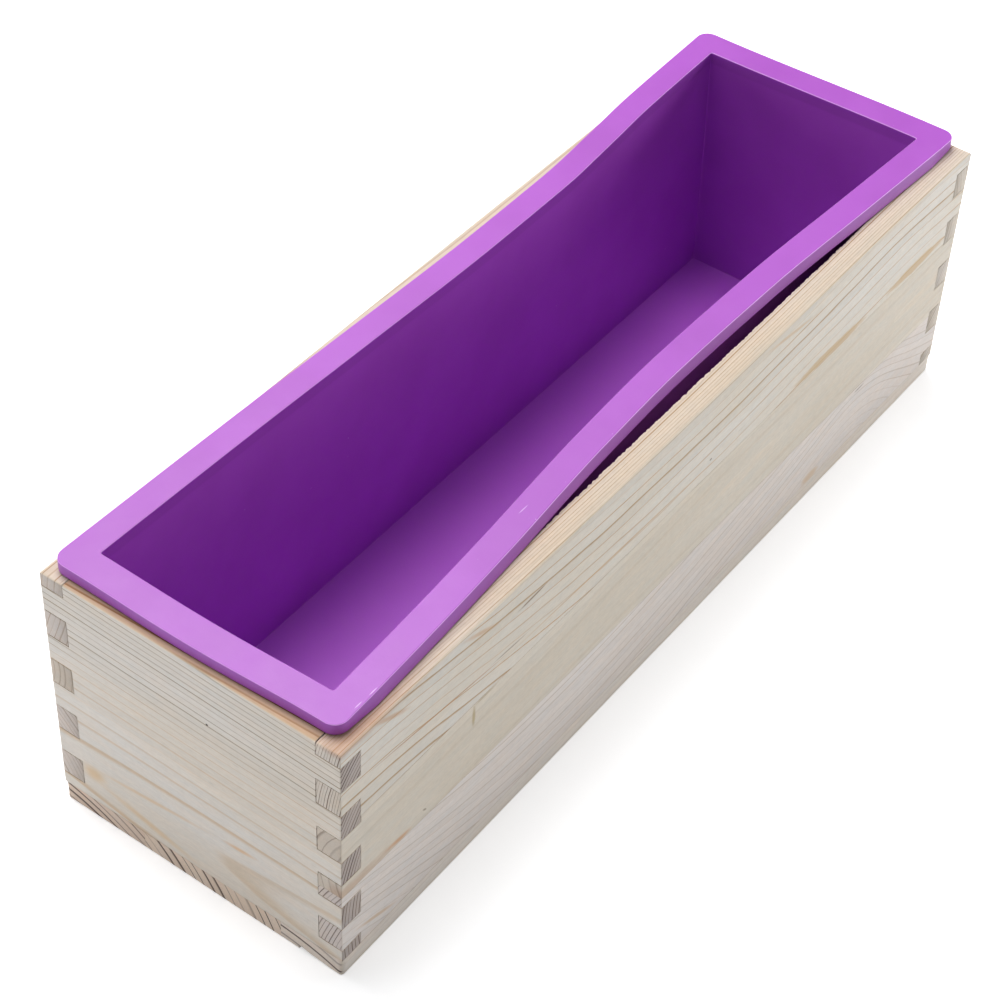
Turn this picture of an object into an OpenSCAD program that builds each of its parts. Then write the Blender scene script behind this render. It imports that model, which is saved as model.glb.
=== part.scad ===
// Loaf mould for soap: a finger-jointed pine box with a drop-in silicone liner.
// X runs along the length, Y across, Z up. The origin is the centre of the underside.

/* [Box] */
// Outside length of the box
box_l = 280; // [220:1:340]
// Outside width of the box
box_w = 89; // [72:1:120]
// Outside height of the box, bottom board included
box_h = 81; // [62:1:110]
// Thickness of the four wall boards
wall_t = 7; // [5:0.5:10]
// Thickness of the bottom board
bottom_t = 6; // [4:0.5:9]

/* [Box joints] */
// Full fingers on each board at a corner, besides the half finger at one end
finger_n = 4; // [2:1:7]

/* [Glue lines between staves] */
// Lower glue line of the front board at the left end, up from the bottom board
front_glue_low_left = 24.5; // [8:0.5:30]
// Lower glue line of the front board at the right end
front_glue_low_right = 19.5; // [8:0.5:30]
// Upper glue line of the front board at the left end
front_glue_high_left = 48; // [34:0.5:50]
// Upper glue line of the front board at the right end
front_glue_high_right = 46.5; // [34:0.5:50]
// Lower glue line of the rear board, up from the bottom board
rear_glue_low = 33; // [8:0.5:36]
// Upper glue line of the rear board
rear_glue_high = 49.5; // [40:0.5:50]
// Width of the stave along the front of the bottom board
bottom_front_w = 19; // [8:0.5:28]
// Width of the stave along the rear of the bottom board
bottom_rear_w = 26.5; // [8:0.5:30]

/* [Liner] */
// Thickness of the liner's walls
liner_wall_t = 2.5; // [1.5:0.1:4.5]
// Thickness of the liner's floor
liner_floor_t = 2.7; // [1.5:0.1:6]
// Radius of the cavity's upright corners
cavity_corner_r = 0.8; // [0.4:0.1:8]
// Gap all round between the liner's walls and the inside of the box, if the liner sat centred
liner_gap = 0.7; // [0.7:0.05:1.5]
// Gap left at the rear, where the liner has slid towards the rear board
liner_rear_gap = 0.3; // [0.2:0.05:0.7]
// Gap under the liner's floor and under its flange
seat_gap = 0.2; // [0.1:0.05:1]

/* [Flange] */
// Thickness of the flange that lies on the rim of the box
flange_t = 3.4; // [2:0.1:6]
// How far the flange stops short of the outside of the box at each end
flange_end_inset = 1.6; // [0.5:0.1:4]
// How far the flange would stop short of the outside of the box at each side, if it sat centred
flange_side_inset = 2.5; // [1.5:0.1:4]
// Radius of the flange's outer corners
flange_corner_r = 4; // [2:0.5:9]

/* [Bow of the soft walls] */
// How far the front wall bows into the cavity at the flange
front_bow = 7.9; // [0:0.1:10]
// Place along the length where the front bow is deepest
front_bow_x = 12; // [-60:1:60]
// How far the rear wall bows into the cavity at the flange
rear_bow = 2.8; // [0:0.1:10]
// Place along the length where the rear bow is deepest
rear_bow_x = 22; // [-60:1:60]

/* [Hidden] */

pine_light = "#e6d9bf";
pine_warm = "#dcc7a2";
pine_pale = "#ece2cd";
pine_pink = "#dcc5b0";
silicone_violet = "#b46ed6";

// Cuts run this far past the faces they open
cut = 1;

// Walls stand on the bottom board and are joined in steps of one finger
frame_h = box_h - bottom_t;
finger_h = frame_h / (2 * finger_n + 1);
inner_l = box_l - 2 * wall_t;
inner_w = box_w - 2 * wall_t;

// Heights of the glue lines and edges of the front and rear boards, at the left and right end
board_foot = [bottom_t, bottom_t];
board_rim = [box_h, box_h];
front_glue_low = [bottom_t + front_glue_low_left, bottom_t + front_glue_low_right];
front_glue_high = [bottom_t + front_glue_high_left, bottom_t + front_glue_high_right];
rear_glue_first = [bottom_t + rear_glue_low, bottom_t + rear_glue_low];
rear_glue_second = [bottom_t + rear_glue_high, bottom_t + rear_glue_high];

// The liner's body fills the inside of the box, less its gaps, and sits back towards the rear
liner_l = inner_l - 2 * liner_gap;
liner_w = inner_w - 2 * liner_gap;
cavity_l = liner_l - 2 * liner_wall_t;
cavity_w = liner_w - 2 * liner_wall_t;
liner_corner_r = cavity_corner_r + liner_wall_t / 2;
liner_shift_y = liner_gap - liner_rear_gap;
flange_l = box_l - 2 * flange_end_inset;
flange_w = box_w - 2 * flange_side_inset;
liner_base_z = bottom_t + seat_gap;
cavity_floor_z = liner_base_z + liner_floor_t;
flange_under_z = box_h + seat_gap;
flange_top_z = flange_under_z + flange_t;

// How finely the soft walls are drawn
side_steps = 28;
corner_steps = 4;
wall_steps = 6;
// The bow grows with height as this power, so the walls stay straight at the floor
bow_power = 1.6;

// Heights where finger k of an end board starts and stops
function end_finger_top(k) = box_h - (2 * k + 0.5) * finger_h;
function end_finger_low(k) = max(bottom_t, end_finger_top(k) - finger_h);

// Heights where finger k of a front or rear board starts and stops
function long_finger_top(k) = min(box_h, box_h - (2 * k - 0.5) * finger_h);
function long_finger_low(k) = box_h - (2 * k + 0.5) * finger_h;

// A front or rear stave between two lines, each given by its height at the left and right
// end, notched at both ends for the end boards
module long_stave(side, low, high) {
    y_low = side > 0 ? box_w / 2 - wall_t : -box_w / 2;
    difference() {
        translate([0, y_low + wall_t, 0])
            rotate([90, 0, 0])
                linear_extrude(wall_t)
                    polygon([
                        [-box_l / 2, low[0]],
                        [box_l / 2, low[1]],
                        [box_l / 2, high[1]],
                        [-box_l / 2, high[0]]
                    ]);
        for (k = [0 : finger_n], end = [-1, 1]) {
            x_low = end > 0 ? inner_l / 2 : -box_l / 2 - cut;
            lower = k == finger_n ? cut : 0;
            translate([x_low, y_low - cut, end_finger_low(k) - lower])
                cube([
                    wall_t + cut,
                    wall_t + 2 * cut,
                    end_finger_top(k) - end_finger_low(k) + lower
                ]);
        }
    }
}

// An end board, notched at both sides for the fingers of the front and rear boards
module end_board(end) {
    x_low = end > 0 ? inner_l / 2 : -box_l / 2;
    difference() {
        translate([x_low, -box_w / 2, bottom_t])
            cube([wall_t, box_w, frame_h]);
        for (k = [0 : finger_n], side = [-1, 1]) {
            y_low = side > 0 ? inner_w / 2 : -box_w / 2 - cut;
            raise = k == 0 ? cut : 0;
            translate([x_low - cut, y_low, long_finger_low(k)])
                cube([
                    wall_t + 2 * cut,
                    wall_t + cut,
                    long_finger_top(k) - long_finger_low(k) + raise
                ]);
        }
    }
}

// A stave of the bottom board between two places across the width
module bottom_stave(y_low, y_high) {
    translate([-box_l / 2, y_low, 0])
        cube([box_l, y_high - y_low, bottom_t]);
}

module front_upper_stave() {
    color(pine_light) long_stave(-1, front_glue_high, board_rim);
}

module front_middle_stave() {
    color(pine_warm) long_stave(-1, front_glue_low, front_glue_high);
}

module front_lower_stave() {
    color(pine_pale) long_stave(-1, board_foot, front_glue_low);
}

module rear_upper_stave() {
    color(pine_pale) long_stave(1, rear_glue_second, board_rim);
}

module rear_middle_stave() {
    color(pine_light) long_stave(1, rear_glue_first, rear_glue_second);
}

module rear_lower_stave() {
    color(pine_warm) long_stave(1, board_foot, rear_glue_first);
}

module left_end_board() {
    color(pine_light) end_board(-1);
}

module right_end_board() {
    color(pine_light) end_board(1);
}

module bottom_front_stave() {
    color(pine_pink) bottom_stave(-box_w / 2, -box_w / 2 + bottom_front_w);
}

module bottom_middle_stave() {
    color(pine_warm) bottom_stave(-box_w / 2 + bottom_front_w, box_w / 2 - bottom_rear_w);
}

module bottom_rear_stave() {
    color(pine_pink) bottom_stave(box_w / 2 - bottom_rear_w, box_w / 2);
}

// Share of a bow at a place along the length, from 0 at both corners to 1 where it is deepest
function bow_along(x, deepest_x) =
    let (
        reach = cavity_l / 2 + sign(deepest_x - x) * deepest_x,
        u = min(1, abs(x - deepest_x) / reach)
    )
    (1 + cos(180 * u)) / 2;

// Share of the bow at a height, from 0 at the cavity floor to 1 at the flange
function bow_up(z) =
    pow(max(0, min(1, (z - cavity_floor_z) / (flange_under_z - cavity_floor_z))), bow_power);

// Moves a point of the liner back with the whole liner, and into the cavity by the bow there
function placed(p) =
    let (bow = p[1] < 0
        ? front_bow * bow_along(p[0], front_bow_x)
        : -rear_bow * bow_along(p[0], rear_bow_x))
    [p[0], p[1] + liner_shift_y + bow * bow_up(p[2]), p[2]];

// Rounded corner of a loop, from corner 0 at front left round to corner 3 at rear left
function corner_points(l, w, r, z, corner) =
    let (
        cx = (corner == 0 || corner == 3 ? -1 : 1) * (l / 2 - r),
        cy = (corner < 2 ? -1 : 1) * (w / 2 - r)
    )
    [for (k = [0 : corner_steps])
        let (a = 180 + 90 * (corner + k / corner_steps))
        [cx + r * cos(a), cy + r * sin(a), z]];

// Points along the front or rear side of a loop, between its two corners
function side_points(l, w, r, z, side) =
    [for (k = [1 : side_steps - 1])
        [-side * (l / 2 - r) * (2 * k / side_steps - 1), side * w / 2, z]];

// One closed loop of the liner's skin at a height
function skin_loop(l, w, r, z) =
    [for (p = concat(
        corner_points(l, w, r, z, 0),
        side_points(l, w, r, z, -1),
        corner_points(l, w, r, z, 1),
        corner_points(l, w, r, z, 2),
        side_points(l, w, r, z, 1),
        corner_points(l, w, r, z, 3)
    )) placed(p)];

// Silicone liner: one skin of loops, up the outside, round the flange and down the cavity
module silicone_liner() {
    outside = [for (k = [0 : wall_steps])
        skin_loop(liner_l, liner_w, liner_corner_r,
            liner_base_z + (flange_under_z - liner_base_z) * k / wall_steps)];
    flange = [for (z = [flange_under_z, flange_top_z])
        skin_loop(flange_l, flange_w, flange_corner_r, z)];
    inside = [for (k = [0 : wall_steps])
        skin_loop(cavity_l, cavity_w, cavity_corner_r,
            flange_top_z + (cavity_floor_z - flange_top_z) * k / wall_steps)];
    loops = concat(outside, flange, inside);
    n = len(loops[0]);
    last = len(loops) - 1;
    walls = [for (j = [0 : last - 1], i = [0 : n - 1])
        let (a = j * n + i, b = j * n + (i + 1) % n)
        each [[a, a + n, b], [b, a + n, b + n]]];
    base = [for (i = [0 : n - 1]) i];
    cavity_floor = [for (i = [n - 1 : -1 : 0]) last * n + i];
    color(silicone_violet)
        polyhedron(
            points = [for (loop = loops) each loop],
            faces = concat([base], walls, [cavity_floor]),
            convexity = 6
        );
}

front_upper_stave();
front_middle_stave();
front_lower_stave();
rear_upper_stave();
rear_middle_stave();
rear_lower_stave();
left_end_board();
right_end_board();
bottom_front_stave();
bottom_middle_stave();
bottom_rear_stave();
silicone_liner();
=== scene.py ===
import math
import random

import bmesh
import bpy
from mathutils import Matrix, Vector, noise


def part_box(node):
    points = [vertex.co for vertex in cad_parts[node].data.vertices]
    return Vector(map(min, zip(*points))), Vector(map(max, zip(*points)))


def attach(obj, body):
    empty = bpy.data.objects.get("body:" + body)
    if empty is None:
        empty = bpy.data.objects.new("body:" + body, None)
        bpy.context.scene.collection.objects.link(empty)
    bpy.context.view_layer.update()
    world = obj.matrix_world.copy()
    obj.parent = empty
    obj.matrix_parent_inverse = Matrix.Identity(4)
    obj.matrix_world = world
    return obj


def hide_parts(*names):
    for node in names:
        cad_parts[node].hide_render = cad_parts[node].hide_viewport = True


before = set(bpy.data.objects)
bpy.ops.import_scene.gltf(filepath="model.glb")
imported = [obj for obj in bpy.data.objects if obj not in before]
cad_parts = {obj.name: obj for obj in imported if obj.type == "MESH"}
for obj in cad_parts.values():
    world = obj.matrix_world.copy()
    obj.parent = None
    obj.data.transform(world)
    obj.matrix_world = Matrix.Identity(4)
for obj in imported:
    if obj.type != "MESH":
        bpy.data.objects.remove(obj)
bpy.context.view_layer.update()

mm = 0.001

# the box as the frame gives it, in metres
endLow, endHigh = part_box("left_end_board")
halfLength = -endLow.x
halfWidth = endHigh.y
wallThickness = endHigh.x - endLow.x
footHeight = endLow.z
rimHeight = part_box("front_upper_stave")[1].z
insideHalfLength = halfLength - wallThickness
insideHalfWidth = halfWidth - wallThickness


# small helpers for node trees
def colour(hexText):
    # hex paint value to linear red, green, blue, alpha
    parts = [int(hexText[i:i + 2], 16) / 255 for i in (0, 2, 4)]
    linear = [p / 12.92 if p <= 0.04045 else ((p + 0.055) / 1.055) ** 2.4 for p in parts]
    return (*linear, 1.0)


def addNode(tree, kind, inputs=None, **settings):
    made = tree.nodes.new("ShaderNode" + kind)
    for name, value in settings.items():
        setattr(made, name, value)
    for name, value in (inputs or {}).items():
        if isinstance(value, bpy.types.NodeSocket):
            tree.links.new(value, made.inputs[name])
        else:
            made.inputs[name].default_value = value
    return made


def maths(tree, operation, *values, clamp=False):
    made = addNode(tree, "Math", dict(enumerate(values)), operation=operation, use_clamp=clamp)
    return made.outputs[0]


def vectorMaths(tree, operation, *values):
    made = addNode(tree, "VectorMath", dict(enumerate(values)), operation=operation)
    return made.outputs["Value" if operation == "LENGTH" else "Vector"]


def ramp(tree, value, low, high, toLow=0.0, toHigh=1.0, kind="SMOOTHSTEP"):
    made = addNode(tree, "MapRange", {"Value": value, "From Min": low, "From Max": high,
                                      "To Min": toLow, "To Max": toHigh}, interpolation_type=kind)
    return made.outputs["Result"]


def mixColour(tree, factor, first, second, blend="MIX"):
    made = addNode(tree, "Mix", {0: factor, 6: first, 7: second}, data_type="RGBA", blend_type=blend)
    return made.outputs[2]


def noiseAt(tree, vector, detail=2.0, roughness=0.5, scale=1.0):
    made = addNode(tree, "TexNoise", {"Vector": vector, "Scale": scale, "Detail": detail,
                                      "Roughness": roughness})
    return made.outputs[0]


def splitVector(tree, vector):
    return addNode(tree, "SeparateXYZ", {0: vector}).outputs


def joinVector(tree, x, y, z):
    return addNode(tree, "CombineXYZ", {0: x, 1: y, 2: z}).outputs[0]


def stretched(tree, vector, along, across, seed, skew=1.7):
    # noise coordinates pulled out along the grain and moved by the seed
    scaled = vectorMaths(tree, "MULTIPLY", vector, (along, across, across))
    return vectorMaths(tree, "ADD", scaled,
                       joinVector(tree, seed, maths(tree, "MULTIPLY", seed, skew), seed))


def newGroup(name, inputs, outputs):
    tree = bpy.data.node_groups.new(name, "ShaderNodeTree")
    for label, value in inputs.items():
        kind = "NodeSocketVector" if isinstance(value, tuple) else "NodeSocketFloat"
        socket = tree.interface.new_socket(label, in_out="INPUT", socket_type=kind)
        socket.default_value = value
    for label in outputs:
        tree.interface.new_socket(label, in_out="OUTPUT", socket_type="NodeSocketFloat")
    start = tree.nodes.new("NodeGroupInput")
    end = tree.nodes.new("NodeGroupOutput")
    return tree, start.outputs, end.inputs


def placeGroup(tree, group, inputs):
    return addNode(tree, "Group", inputs, node_tree=group).outputs


def newMaterial(name):
    material = bpy.data.materials.new(name)
    material.use_nodes = True
    material.node_tree.nodes.clear()
    return material, material.node_tree


def linkToScene(name, data):
    piece = bpy.data.objects.new(name, data)
    bpy.context.scene.collection.objects.link(piece)
    return piece


def shadeSmooth(piece, weight=60):
    # rounded edges shade smoothly and the flats beside them stay flat
    for flat in piece.data.polygons:
        flat.use_smooth = True
    piece.modifiers.new("keepFlat", "WEIGHTED_NORMAL").weight = weight


# the shader groups work in millimetres
ringPattern = {
    "slowWander": (0.011, 0.04),  # noise scale along and across the grain
    "quickWander": (0.05, 0.30),
    "quickShare": 0.22,
    "yearScale": 0.16,
    "secondDraw": 57.3,  # parts a ring's second random value from its first
    "shareLeast": 0.55,
    "shareSpread": 0.9,
    "riseEnds": 0.35,  # this and the next are shares of the late wood's width
    "fallStarts": 0.25,
    "strengthLeast": 0.3,
    "strengthSpread": 0.9,
}


def randomValue(tree, seed):
    return addNode(tree, "TexWhiteNoise", {"W": seed}, noise_dimensions="1D").outputs["Value"]


def buildRingsGroup():
    tree, given, out = newGroup("pineRings", {
        "Grain Vector": (0.0, 0.0, 0.0), "Pith Across": 0.0, "Pith Up": 0.0, "Pith Tilt": 0.0,
        "Taper": 0.0, "Shift": 0.0, "Ring Width": 2.0, "Late Share": 0.3, "Warp": 1.0, "Uneven": 1.6,
        "Seed": 0.0,
    }, ["Late Wood", "Ring Tone"])
    look = ringPattern
    vector = given["Grain Vector"]
    seed = given["Seed"]
    place = splitVector(tree, vector)
    pithUp = maths(tree, "MULTIPLY_ADD", place[0], given["Pith Tilt"], given["Pith Up"])
    across = maths(tree, "SUBTRACT", place[1], given["Pith Across"])
    up = maths(tree, "SUBTRACT", place[2], pithUp)
    distance = maths(tree, "SQRT", maths(tree, "ADD", maths(tree, "MULTIPLY", across, across),
                                         maths(tree, "MULTIPLY", up, up)))
    distance = maths(tree, "MULTIPLY_ADD", place[0], given["Taper"], distance)
    distance = maths(tree, "ADD", distance, given["Shift"])
    slow = noiseAt(tree, stretched(tree, vector, *look["slowWander"], seed), detail=1.0)
    quick = noiseAt(tree, stretched(tree, vector, *look["quickWander"], seed), detail=2.0)
    wander = maths(tree, "ADD", maths(tree, "SUBTRACT", slow, 0.5),
                   maths(tree, "MULTIPLY", maths(tree, "SUBTRACT", quick, 0.5), look["quickShare"]))
    distance = maths(tree, "MULTIPLY_ADD", wander, given["Warp"], distance)
    # good and poor years change how far apart the rings lie
    years = joinVector(tree, maths(tree, "MULTIPLY", distance, look["yearScale"]), seed, 0.0)
    uneven = maths(tree, "MULTIPLY", noiseAt(tree, years, detail=1.0), given["Uneven"])
    phase = maths(tree, "ADD", maths(tree, "DIVIDE", distance, given["Ring Width"]), uneven)
    within = maths(tree, "FRACT", phase)
    ringSeed = maths(tree, "ADD", maths(tree, "FLOOR", phase), seed)
    first = randomValue(tree, ringSeed)
    second = randomValue(tree, maths(tree, "ADD", ringSeed, look["secondDraw"]))
    share = maths(tree, "MULTIPLY", given["Late Share"],
                  maths(tree, "MULTIPLY_ADD", first, look["shareSpread"], look["shareLeast"]))
    rising = ramp(tree, within, maths(tree, "SUBTRACT", 1.0, share),
                  maths(tree, "MULTIPLY_ADD", share, -look["riseEnds"], 1.0))
    fallStart = maths(tree, "MULTIPLY_ADD", share, -look["fallStarts"], 1.0)
    falling = ramp(tree, within, fallStart, 1.0, 1.0, 0.0)
    strength = maths(tree, "MULTIPLY_ADD", second, look["strengthSpread"], look["strengthLeast"])
    late = maths(tree, "MULTIPLY", maths(tree, "MULTIPLY", rising, falling), strength)
    tree.links.new(late, out["Late Wood"])
    tree.links.new(first, out["Ring Tone"])
    return tree


def buildSwellGroup(bellBase=2.718):
    # a place where the rings bulge, as they do over a knot further in
    tree, given, out = newGroup("pineSwell", {
        "Grain Vector": (0.0, 0.0, 0.0), "Place": (0.0, 0.0, 0.0), "Length": 50.0, "Breadth": 50.0,
        "Height": 1.0,
    }, ["Shift"])
    away = vectorMaths(tree, "SUBTRACT", given["Grain Vector"], given["Place"])
    spread = joinVector(tree, given["Length"], given["Breadth"], given["Breadth"])
    reach = vectorMaths(tree, "LENGTH", vectorMaths(tree, "DIVIDE", away, spread))
    squared = maths(tree, "MULTIPLY", reach, reach)
    fall = maths(tree, "POWER", bellBase, maths(tree, "MULTIPLY", squared, -1.0))
    tree.links.new(maths(tree, "MULTIPLY", fall, given["Height"]), out["Shift"])
    return tree


# each noise: its scale along and across the grain, and the range it is read over
fibrePattern = {
    "Streaks": {"scale": (0.045, 2.3), "detail": 5.0, "roughness": 0.65, "range": (0.3, 0.7),
                "curve": "LINEAR"},
    "Dashes": {"scale": (0.22, 3.6), "detail": 1.0, "range": (0.68, 0.8)},
    "Cloud": {"scale": (0.012, 0.05), "detail": 3.0, "range": (0.32, 0.68)},
    "Sanding": {"scale": (0.5, 2.4), "detail": 3.0},
    "Mottle": {"scale": (0.5, 1.1), "detail": 3.0, "roughness": 0.7},
    "Tone": {"scale": (0.12, 0.4), "detail": 3.0, "seedShift": 5.0},
}


def buildFibreGroup():
    tree, given, out = newGroup("pineFibre", {"Grain Vector": (0.0, 0.0, 0.0), "Seed": 0.0},
                                list(fibrePattern))
    for label, look in fibrePattern.items():
        seed = given["Seed"]
        if "seedShift" in look:
            seed = maths(tree, "ADD", seed, look["seedShift"])
        value = noiseAt(tree, stretched(tree, given["Grain Vector"], *look["scale"], seed),
                        detail=look["detail"], roughness=look.get("roughness", 0.5))
        if "range" in look:
            value = ramp(tree, value, *look["range"], kind=look.get("curve", "SMOOTHSTEP"))
        tree.links.new(value, out[label])
    return tree


def buildMarkGroup(roughAlong=0.25, roughAcross=0.9):
    # one blotch with ragged edges, leaning as it runs along the grain
    tree, given, out = newGroup("woodMark", {
        "Vector": (0.0, 0.0, 0.0), "Place": (0.0, 0.0, 0.0), "Size": (5.0, 5.0, 5.0), "Lean": 0.0,
        "Softness": 0.5, "Ragged": 0.4, "Seed": 0.0,
    }, ["Mask"])
    parts = splitVector(tree, vectorMaths(tree, "SUBTRACT", given["Vector"], given["Place"]))
    level = maths(tree, "SUBTRACT", parts[2], maths(tree, "MULTIPLY", parts[0], given["Lean"]))
    sheared = joinVector(tree, parts[0], parts[1], level)
    reach = vectorMaths(tree, "LENGTH", vectorMaths(tree, "DIVIDE", sheared, given["Size"]))
    rough = noiseAt(tree, stretched(tree, given["Vector"], roughAlong, roughAcross, given["Seed"]),
                    detail=3.0)
    reach = maths(tree, "MULTIPLY_ADD", maths(tree, "SUBTRACT", rough, 0.5),
                  maths(tree, "MULTIPLY", given["Ragged"], 2.0), reach)
    inner = maths(tree, "SUBTRACT", 1.0, given["Softness"])
    tree.links.new(ramp(tree, reach, inner, 1.0, 1.0, 0.0), out["Mask"])
    return tree


def buildEdgeGroup(rounded=0.75, flat=0.995):
    # flat faces of a board point along an axis, so what doesn't is a rounded edge
    tree, given, out = newGroup("roundedEdges", {"Normal": (0.0, 0.0, 1.0)}, ["Edge"])
    parts = splitVector(tree, vectorMaths(tree, "ABSOLUTE", given["Normal"]))
    most = maths(tree, "MAXIMUM", maths(tree, "MAXIMUM", parts[0], parts[1]), parts[2])
    tree.links.new(ramp(tree, most, rounded, flat, 1.0, 0.0), out["Edge"])
    return tree


ringsGroup = buildRingsGroup()
swellGroup = buildSwellGroup()
fibreGroup = buildFibreGroup()
markGroup = buildMarkGroup()
edgeGroup = buildEdgeGroup()
print("shader groups made")


# pine: one material for each board, because each was cut from its own place in a tree
pineLooks = {
    "endGrainFacing": (0.55, 0.9),  # how far a face turns along the grain before it is end grain
    "endGrainLate": colour("54403a"),
    "endGrainShare": 0.34,
    "endGrainLateStrength": 0.85,
    "rimFacing": (0.45, 0.85),
    "rimLate": colour("ac8348"),
    "rimShare": 0.42,
    "rimContrast": 0.85,
    "greyShare": 0.5,
    "lowBlend": 5,
    "cloudStrength": 0.45,
    "mottle": 0.11,
    "mottleTint": 0.05,
    "streakDarkening": 0.085,
    "dashDarkening": 0.12,
    "ringToneDepth": 0.05,
    # rounded edges coloured lighter: partly sanded wear, partly a painted highlight
    "edgeWearAndHighlightColour": colour("e9dcc6"),
    "edgeWearAndHighlightStrength": 0.35,
    "roughness": 0.62,
    "lateRoughness": -0.10,
    "sandingRoughness": 0.12,
    "specular": 0.3,
    "bumpStrength": 0.35,
    "bumpDepth": 0.08 * mm,
    "bumpStreaks": 0.5,
    "bumpLate": 0.5,
}

# what most of the boards share; the end grain is a tint of the board's own colour, and the rim's tint
# is partly the wood's own colour and partly painted shade under the flange
usualBoard = {
    "grain": "x", "tilt": 0.0, "taper": 0.0, "shift": 0.0, "uneven": 1.2, "lateShare": 0.2, "warp": 0.8,
    "swells": [], "endGrain": (0.80, 0.77, 0.77), "rimTintAndShade": (0.87, 0.80, 0.74), "lateGrey": "9c8860",
}

boards = {
    "front_upper_stave": {
        "pith": (-444, -9), "ringWidth": 0.75, "uneven": 0.0, "lateShare": 0.19, "warp": 0.9,
        "seed": 3.1, "contrast": 0.8, "early": "e8e2d9", "late": "c3934e", "cloud": "e2d4bd",
        "lateGrey": "a98a58", "endGrain": (0.86, 0.83, 0.82), "endContrast": 1.1,
        "swells": [
            {"at": (-150, -44.5, 60), "length": 75, "breadth": 900, "height": -2.4},
            {"at": (110, -44.5, 60), "length": 50, "breadth": 900, "height": -0.65},
        ],
    },
    "front_middle_stave": {
        "pith": (-61, 39), "tilt": 0.01, "ringWidth": 2.2, "lateShare": 0.3, "warp": 1.6,
        "seed": 8.4, "contrast": 0.16, "early": "e6ddcf", "late": "cfae86", "cloud": "dfd2be",
        "endContrast": 0.5,
    },
    "front_lower_stave": {
        "pith": (-144.5, -21.6), "ringWidth": 1.08, "uneven": 0.7, "warp": 0.7, "seed": 12.7,
        "contrast": 0.46, "early": "ede5df", "late": "b59a7e", "cloud": "e6dbd2",
        "endContrast": 1.0,
        "swells": [
            {"at": (95, -44.5, 8), "length": 32, "breadth": 900, "height": -5.0},
            {"at": (55, -44.5, 8), "length": 60, "breadth": 900, "height": -4.0},
            {"at": (-165, -44.5, 18), "length": 60, "breadth": 900, "height": -8.0},
        ],
    },
    "rear_upper_stave": {
        "pith": (112, 92), "tilt": 0.02, "taper": 0.004, "ringWidth": 1.7, "lateShare": 0.3,
        "warp": 1.3, "seed": 21.3, "contrast": 0.6, "early": "eae3d8", "late": "c49e74",
        "cloud": "e2d3bd", "endGrain": (0.9, 0.87, 0.9), "endContrast": 0.22,
        "swells": [
            {"at": (-40, 44.5, 70), "length": 40, "breadth": 60, "height": 1.8},
        ],
    },
    "rear_middle_stave": {
        "pith": (58, 47), "tilt": -0.012, "ringWidth": 2.0, "lateShare": 0.4, "warp": 1.5,
        "seed": 27.9, "contrast": 0.3, "early": "e9e1d2", "late": "cba478", "cloud": "e2d4bc",
        "endGrain": (0.9, 0.87, 0.9), "endContrast": 0.22,
    },
    "rear_lower_stave": {
        "pith": (90, -14), "taper": -0.006, "ringWidth": 1.5, "uneven": 1.0, "lateShare": 0.3,
        "warp": 1.1, "seed": 33.2, "contrast": 0.5, "early": "ece4da", "late": "c5a27c",
        "cloud": "e4d8c6", "endGrain": (0.9, 0.87, 0.9), "endContrast": 0.22,
        "swells": [
            {"at": (60, 44.5, 16), "length": 46, "breadth": 30, "height": -2.6},
        ],
    },
    "left_end_board": {
        "grain": "y", "pith": (-75, 16.25), "tilt": 0.05, "taper": 0.0133, "ringWidth": 1.27,
        "shift": -0.333, "uneven": 0.25, "warp": 0.5, "seed": 41.6, "contrast": 0.85,
        "early": "eae3db", "late": "9b8467", "cloud": "e5d8c6", "lowLate": "cda56c",
        # the left end's strong rim tint is partly the wood's orange-brown, partly painted shade under
        # the flange
        "lowFrom": 57, "lowShare": 0.62, "rimTintAndShade": (0.76, 0.58, 0.42),
        "endGrain": (0.6, 0.565, 0.575), "endContrast": 1.5,
    },
    "right_end_board": {
        "grain": "y", "pith": (92, 60), "tilt": -0.03, "taper": 0.01, "ringWidth": 1.5,
        "lateShare": 0.3, "seed": 48.5, "contrast": 0.45, "early": "eae2d8", "late": "c5a07a",
        "cloud": "e3d5bf", "endGrain": (0.96, 0.955, 0.965), "endContrast": 0.12,
    },
    "bottom_front_stave": {
        "pith": (-23, -55), "tilt": 0.004, "taper": 0.002, "ringWidth": 2.7, "seed": 55.2,
        "contrast": 0.3, "early": "f2e9df", "late": "b8957a", "cloud": "ece0d2",
        "endGrain": (0.98, 0.94, 0.92), "endContrast": 1.3,
    },
    "bottom_middle_stave": {
        "pith": (47.6, -28.5), "tilt": 0.003, "taper": 0.003, "ringWidth": 2.8, "seed": 61.8,
        "contrast": 0.4, "early": "ebdccd", "late": "a97f5f", "cloud": "e3cfb8",
        "endGrain": (0.98, 0.94, 0.92), "endContrast": 1.25,
    },
    "bottom_rear_stave": {
        "pith": (55, -52), "tilt": -0.004, "taper": 0.002, "ringWidth": 2.5, "seed": 68.4,
        "contrast": 0.4, "early": "ead9ca", "late": "a5795a", "cloud": "e2ccb5",
        "endGrain": (0.96, 0.92, 0.9), "endContrast": 1.3,
    },
}


def boardLooks(name):
    return {**usualBoard, **boards[name]}

# stains, blobs and small dark marks, one of them partly painted shade; places and sizes in millimetres
usualMark = {"lean": 0.0, "strength": 0.6, "softness": 0.7, "ragged": 0.3}

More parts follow.
